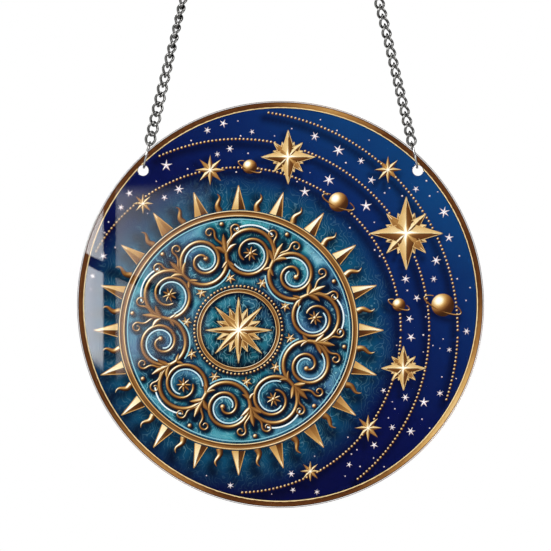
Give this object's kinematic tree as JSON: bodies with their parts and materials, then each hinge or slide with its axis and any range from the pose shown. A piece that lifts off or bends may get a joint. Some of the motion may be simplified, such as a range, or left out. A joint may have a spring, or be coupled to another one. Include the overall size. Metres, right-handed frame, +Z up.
{
  "type": "suncatcher",
  "caption": "Round clear acrylic suncatcher with a printed sun in a night sky, hung from two strands of curb chain that meet at a ring.",
  "frame": {"origin": "where a hook carries the part, under the highest stretch of wire in the top ring", "axes": "+X to the right, +Y away from the viewer through the disc, +Z up"},
  "size_m": [0.15, 0.0104, 0.3491],
  "materials": {
    "steel_wire": "bright dark nickel plate on round wire",
    "clear_acrylic": "polished clear sheet",
    "printed_ink": "printed picture in navy, teal and gold, seen through the acrylic"
  },
  "bodies": {
    "top_ring": {"top_ring": "steel_wire"},
    "connecting_rings": {"left_connecting_ring": "steel_wire", "right_connecting_ring": "steel_wire"},
    "chain_run_01": {"left_chain_run_01": "steel_wire", "right_chain_run_01": "steel_wire"},
    "chain_run_02": {"left_chain_run_02": "steel_wire", "right_chain_run_02": "steel_wire"},
    "chain_run_03": {"left_chain_run_03": "steel_wire", "right_chain_run_03": "steel_wire"},
    "chain_run_04": {"left_chain_run_04": "steel_wire", "right_chain_run_04": "steel_wire"},
    "chain_run_05": {"left_chain_run_05": "steel_wire", "right_chain_run_05": "steel_wire"},
    "chain_run_06": {"left_chain_run_06": "steel_wire", "right_chain_run_06": "steel_wire"},
    "chain_run_07": {"left_chain_run_07": "steel_wire", "right_chain_run_07": "steel_wire"},
    "chain_run_08": {"left_chain_run_08": "steel_wire", "right_chain_run_08": "steel_wire"},
    "chain_run_09": {"left_chain_run_09": "steel_wire", "right_chain_run_09": "steel_wire"},
    "chain_run_10": {"left_chain_run_10": "steel_wire", "right_chain_run_10": "steel_wire"},
    "links_01": {"left_link_01": "steel_wire", "right_link_01": "steel_wire"},
    "links_02": {"left_link_02": "steel_wire", "right_link_02": "steel_wire"},
    "links_03": {"left_link_03": "steel_wire", "right_link_03": "steel_wire"},
    "links_04": {"left_link_04": "steel_wire", "right_link_04": "steel_wire"},
    "links_05": {"left_link_05": "steel_wire", "right_link_05": "steel_wire"},
    "links_06": {"left_link_06": "steel_wire", "right_link_06": "steel_wire"},
    "links_07": {"left_link_07": "steel_wire", "right_link_07": "steel_wire"},
    "links_08": {"left_link_08": "steel_wire", "right_link_08": "steel_wire"},
    "links_09": {"left_link_09": "steel_wire", "right_link_09": "steel_wire"},
    "links_10": {"left_link_10": "steel_wire", "right_link_10": "steel_wire"},
    "links_11": {"left_link_11": "steel_wire", "right_link_11": "steel_wire"},
    "links_12": {"left_link_12": "steel_wire", "right_link_12": "steel_wire"},
    "links_13": {"left_link_13": "steel_wire", "right_link_13": "steel_wire"},
    "links_14": {"left_link_14": "steel_wire", "right_link_14": "steel_wire"},
    "links_15": {"left_link_15": "steel_wire", "right_link_15": "steel_wire"},
    "links_16": {"left_link_16": "steel_wire", "right_link_16": "steel_wire"},
    "disc_rings": {"left_disc_ring": "steel_wire", "right_disc_ring": "steel_wire"},
    "disc": {"acrylic_disc": "clear_acrylic", "printed_picture": "printed_ink"}
  },
  "joints": [
    {"name": "sway", "type": "hinge", "parent": "top_ring", "child": "connecting_rings", "pos_m": [0, 0, -0.0058], "axis": [0, 1, 0], "range_deg": [-25, 25]},
    {"name": "chain_run_01_flex", "type": "hinge", "parent": "connecting_rings", "child": "chain_run_01", "pos_m": [0, 0, -0.01525], "axis": [1, 0, 0], "range_deg": [-17, 17]},
    {"name": "chain_run_02_flex", "type": "hinge", "parent": "chain_run_01", "child": "chain_run_02", "pos_m": [0, 0, -0.02611], "axis": [-1, 0, 0], "range_deg": [-22, 22]},
    {"name": "chain_run_03_flex", "type": "hinge", "parent": "chain_run_02", "child": "chain_run_03", "pos_m": [0, 0, -0.04052], "axis": [1, 0, 0], "range_deg": [-22, 22]},
    {"name": "chain_run_04_flex", "type": "hinge", "parent": "chain_run_03", "child": "chain_run_04", "pos_m": [0, 0, -0.05494], "axis": [-1, 0, 0], "range_deg": [-22, 22]},
    {"name": "chain_run_05_flex", "type": "hinge", "parent": "chain_run_04", "child": "chain_run_05", "pos_m": [0, 0, -0.06935], "axis": [1, 0, 0], "range_deg": [-22, 22]},
    {"name": "chain_run_06_flex", "type": "hinge", "parent": "chain_run_05", "child": "chain_run_06", "pos_m": [0, 0, -0.08377], "axis": [-1, 0, 0], "range_deg": [-22, 22]},
    {"name": "chain_run_07_flex", "type": "hinge", "parent": "chain_run_06", "child": "chain_run_07", "pos_m": [0, 0, -0.09818], "axis": [1, 0, 0], "range_deg": [-22, 22]},
    {"name": "chain_run_08_flex", "type": "hinge", "parent": "chain_run_07", "child": "chain_run_08", "pos_m": [0, 0, -0.11259], "axis": [-1, 0, 0], "range_deg": [-22, 22]},
    {"name": "chain_run_09_flex", "type": "hinge", "parent": "chain_run_08", "child": "chain_run_09", "pos_m": [0, 0, -0.12701], "axis": [1, 0, 0], "range_deg": [-22, 22]},
    {"name": "chain_run_10_flex", "type": "hinge", "parent": "chain_run_09", "child": "chain_run_10", "pos_m": [0, 0, -0.14142], "axis": [-1, 0, 0], "range_deg": [-22, 22]},
    {"name": "links_01_flex", "type": "hinge", "parent": "chain_run_10", "child": "links_01", "pos_m": [0, 0, -0.15584], "axis": [1, 0, 0], "range_deg": [-22, 22]},
    {"name": "links_02_flex", "type": "hinge", "parent": "links_01", "child": "links_02", "pos_m": [0, 0, -0.15944], "axis": [-1, 0, 0], "range_deg": [-22, 22]},
    {"name": "links_03_flex", "type": "hinge", "parent": "links_02", "child": "links_03", "pos_m": [0, 0, -0.16305], "axis": [1, 0, 0], "range_deg": [-22, 22]},
    {"name": "links_04_flex", "type": "hinge", "parent": "links_03", "child": "links_04", "pos_m": [0, 0, -0.16665], "axis": [-1, 0, 0], "range_deg": [-22, 22]},
    {"name": "links_05_flex", "type": "hinge", "parent": "links_04", "child": "links_05", "pos_m": [0, 0, -0.17025], "axis": [1, 0, 0], "range_deg": [-22, 22]},
    {"name": "links_06_flex", "type": "hinge", "parent": "links_05", "child": "links_06", "pos_m": [0, 0, -0.17386], "axis": [-1, 0, 0], "range_deg": [-22, 22]},
    {"name": "links_07_flex", "type": "hinge", "parent": "links_06", "child": "links_07", "pos_m": [0, 0, -0.17746], "axis": [1, 0, 0], "range_deg": [-22, 22]},
    {"name": "links_08_flex", "type": "hinge", "parent": "links_07", "child": "links_08", "pos_m": [0, 0, -0.18106], "axis": [-1, 0, 0], "range_deg": [-22, 22]},
    {"name": "links_09_flex", "type": "hinge", "parent": "links_08", "child": "links_09", "pos_m": [0, 0, -0.18467], "axis": [1, 0, 0], "range_deg": [-22, 22]},
    {"name": "links_10_flex", "type": "hinge", "parent": "links_09", "child": "links_10", "pos_m": [0, 0, -0.18827], "axis": [-1, 0, 0], "range_deg": [-22, 22]},
    {"name": "links_11_flex", "type": "hinge", "parent": "links_10", "child": "links_11", "pos_m": [0, 0, -0.19187], "axis": [1, 0, 0], "range_deg": [-22, 22]},
    {"name": "links_12_flex", "type": "hinge", "parent": "links_11", "child": "links_12", "pos_m": [0, 0, -0.19548], "axis": [-1, 0, 0], "range_deg": [-22, 22]},
    {"name": "links_13_flex", "type": "hinge", "parent": "links_12", "child": "links_13", "pos_m": [0, 0, -0.19908], "axis": [1, 0, 0], "range_deg": [-22, 22]},
    {"name": "links_14_flex", "type": "hinge", "parent": "links_13", "child": "links_14", "pos_m": [0, 0, -0.20269], "axis": [-1, 0, 0], "range_deg": [-22, 22]},
    {"name": "links_15_flex", "type": "hinge", "parent": "links_14", "child": "links_15", "pos_m": [0, 0, -0.20629], "axis": [1, 0, 0], "range_deg": [-22, 22]},
    {"name": "links_16_flex", "type": "hinge", "parent": "links_15", "child": "links_16", "pos_m": [0, 0, -0.20989], "axis": [-1, 0, 0], "range_deg": [-22, 22]},
    {"name": "disc_rings_flex", "type": "hinge", "parent": "links_16", "child": "disc_rings", "pos_m": [0, 0, -0.21355], "axis": [1, 0, 0], "range_deg": [-17, 17]},
    {"name": "disc_tilt", "type": "hinge", "parent": "disc_rings", "child": "disc", "pos_m": [0, 0, -0.22241], "axis": [-1, 0, 0], "range_deg": [-6, 6]}
  ]
}
